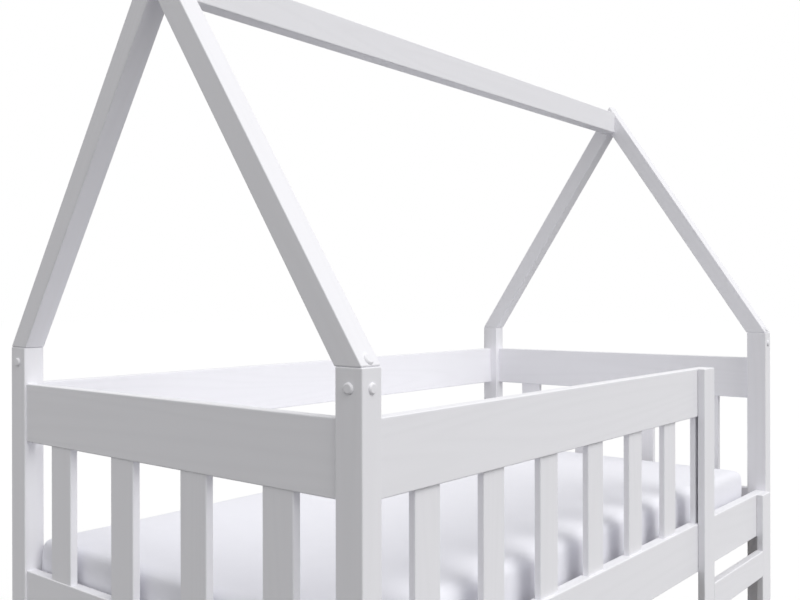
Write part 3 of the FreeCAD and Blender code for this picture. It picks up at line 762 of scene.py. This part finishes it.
class MakeMattress(bpy.types.Operator):
    """Make the mattress in its fitted sheet"""

    bl_idname = "house_bed.make_mattress"
    bl_label = "Make Mattress"

    def execute(self, context):
        settings = context.scene.bed_mattress
        cover = new_object("mattress_in_sheet", even_shell(settings, settings.mesh_size))
        fill(cover, settings)
        lay_sheet(cover, settings)
        for face in cover.data.polygons:
            face.use_smooth = True
        cover.data.materials.clear()
        cover.data.materials.append(fitted_sheet(settings))
        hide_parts("mattress")
        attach(cover, MATTRESS_BODY)
        return {"FINISHED"}


# Stage

class StageSettings(bpy.types.PropertyGroup):
    """Camera, light and floor."""

    sky: bpy.props.FloatProperty(name="Sky", description="Strength of the even light", default=0.64)
    key: bpy.props.FloatProperty(name="Key", description="Strength of the soft key light", default=1.6)
    key_height: bpy.props.FloatProperty(
        name="Key height", description="Height of the key light over the horizon", subtype="ANGLE",
        default=math.radians(45.0))
    key_spread: bpy.props.FloatProperty(
        name="Key spread", description="How wide the key light is", subtype="ANGLE", default=math.radians(50.0))
    floor_bounce: bpy.props.FloatProperty(
        name="Floor", description="How much light the floor gives back", subtype="FACTOR", default=0.13)
    floor_radius: bpy.props.FloatProperty(
        name="Floor radius", description="Reach of the floor", subtype="DISTANCE", default=60.0)


# The photograph's frame and its camera: focal length and vanishing point in its pixels
PHOTO_WIDTH = 800
PHOTO_HEIGHT = 600
FOCAL_PIXELS = 927.0
VIEW_CENTRE_PIXEL = (262.0, 301.9)
CAMERA_PLACE = (-2.1667, -1.3436, 1.4212)
CAMERA_HEADING = math.radians(-46.378)
CAMERA_PITCH = math.radians(-0.03)
CAMERA_ROLL = math.radians(-0.12)
SENSOR_WIDTH = 36.0
WHITE = (1.0, 1.0, 1.0, 1.0)
FLOOR_SEGMENTS = 64
FLOOR_PALE = (0.95, 0.95, 0.95, 1.0)
FLOOR_GLOW = 1.03
FLOOR_GLOW_SHARE = 0.7


def make_camera():
    lens = bpy.data.cameras.new("camera")
    lens.sensor_width = SENSOR_WIDTH
    lens.lens = SENSOR_WIDTH * FOCAL_PIXELS / PHOTO_WIDTH
    lens.shift_x = (PHOTO_WIDTH / 2 - VIEW_CENTRE_PIXEL[0]) / PHOTO_WIDTH
    lens.shift_y = (VIEW_CENTRE_PIXEL[1] - PHOTO_HEIGHT / 2) / PHOTO_WIDTH
    camera = new_object("camera", lens)
    camera.location = CAMERA_PLACE
    camera.rotation_euler = Euler((math.pi / 2 + CAMERA_PITCH, 0.0, CAMERA_HEADING))
    camera.rotation_euler.rotate_axis("Z", CAMERA_ROLL)
    bpy.context.scene.camera = camera


def seen_directly(tree):
    """Value of 1 for what the camera sees, straight or through a reflection or a glass."""
    path = tree.node("ShaderNodeLightPath", {}, {}, "Is Camera Ray")
    return path.at_least(path.out("Is Glossy Ray")).at_least(path.out("Is Transmission Ray"))


def make_world(strength):
    world = bpy.data.worlds.new("studio")
    bpy.context.scene.world = world
    world.use_nodes = True
    world.node_tree.nodes.clear()
    tree = Tree(world.node_tree)
    even = tree.node("ShaderNodeBackground", {}, {"Color": WHITE, "Strength": strength})
    white = tree.node("ShaderNodeBackground", {}, {"Color": WHITE, "Strength": 1.0})
    mix = tree.node("ShaderNodeMixShader", {}, {0: seen_directly(tree), 1: even, 2: white})
    tree.node("ShaderNodeOutputWorld", {}, {"Surface": mix})


def make_key_light(settings):
    lamp = bpy.data.lights.new("key_light", "SUN")
    lamp.energy = settings.key
    lamp.angle = settings.key_spread
    key = new_object("key_light", lamp)
    key.rotation_euler = Euler((math.pi / 2 - settings.key_height, 0.0, 0.0))


def pale_floor(settings):
    """Almost white where it is seen, with the bed's shadow, and dim in the light that it gives back."""
    material = bpy.data.materials.new("pale_floor")
    material.use_nodes = True
    material.node_tree.nodes.clear()
    tree = Tree(material.node_tree)
    bounce = tree.node("ShaderNodeBsdfDiffuse", {}, {"Color": colour(WHITE, settings.floor_bounce)})
    pale = tree.node("ShaderNodeBsdfDiffuse", {}, {"Color": FLOOR_PALE})
    glow = tree.node("ShaderNodeEmission", {}, {"Color": WHITE, "Strength": FLOOR_GLOW})
    shown = tree.node("ShaderNodeMixShader", {}, {0: FLOOR_GLOW_SHARE, 1: pale, 2: glow})
    mix = tree.node("ShaderNodeMixShader", {}, {0: seen_directly(tree), 1: bounce, 2: shown})
    tree.node("ShaderNodeOutputMaterial", {}, {"Surface": mix})
    return material


def make_floor(settings):
    mesh = bpy.data.meshes.new("floor")
    build = bmesh.new()
    bmesh.ops.create_circle(build, cap_ends=True, segments=FLOOR_SEGMENTS, radius=settings.floor_radius)
    build.to_mesh(mesh)
    build.free()
    mesh.materials.append(pale_floor(settings))
    floor = new_object("floor", mesh)


class BuildStage(bpy.types.Operator):
    """Set up the camera, the soft light and the pale floor"""

    bl_idname = "house_bed.build_stage"
    bl_label = "Build Stage"

    def execute(self, context):
        settings = context.scene.bed_stage
        make_camera()
        make_world(settings.sky)
        make_key_light(settings)
        make_floor(settings)
        context.scene.view_settings.view_transform = "Standard"
        return {"FINISHED"}


class HouseBedPanel(bpy.types.Panel):
    bl_idname = "VIEW3D_PT_house_bed"
    bl_label = "House Bed"
    bl_space_type = "VIEW_3D"
    bl_region_type = "UI"
    bl_category = "House Bed"

    def draw(self, context):
        for operator in OPERATORS:
            self.layout.operator(operator.bl_idname)


SETTINGS = {"bed_timber": TimberSettings, "bed_caps": CapSettings, "bed_mattress": MattressSettings,
            "bed_stage": StageSettings}
OPERATORS = (PaintBoards, FinishBase, FinishFixings, FitCaps, MakeMattress, BuildStage)


def register():
    for cls in (*SETTINGS.values(), *OPERATORS, HouseBedPanel):
        bpy.utils.register_class(cls)
    for name, group in SETTINGS.items():
        setattr(bpy.types.Scene, name, bpy.props.PointerProperty(type=group))


def unregister():
    for name in SETTINGS:
        delattr(bpy.types.Scene, name)
    for cls in reversed((*SETTINGS.values(), *OPERATORS, HouseBedPanel)):
        bpy.utils.unregister_class(cls)


def main():
    register()
    bpy.ops.house_bed.paint_boards()
    bpy.ops.house_bed.finish_base()
    bpy.ops.house_bed.finish_fixings()
    bpy.ops.house_bed.fit_caps()
    bpy.ops.house_bed.make_mattress()
    bpy.ops.house_bed.build_stage()


if __name__ == "__main__":
    main()
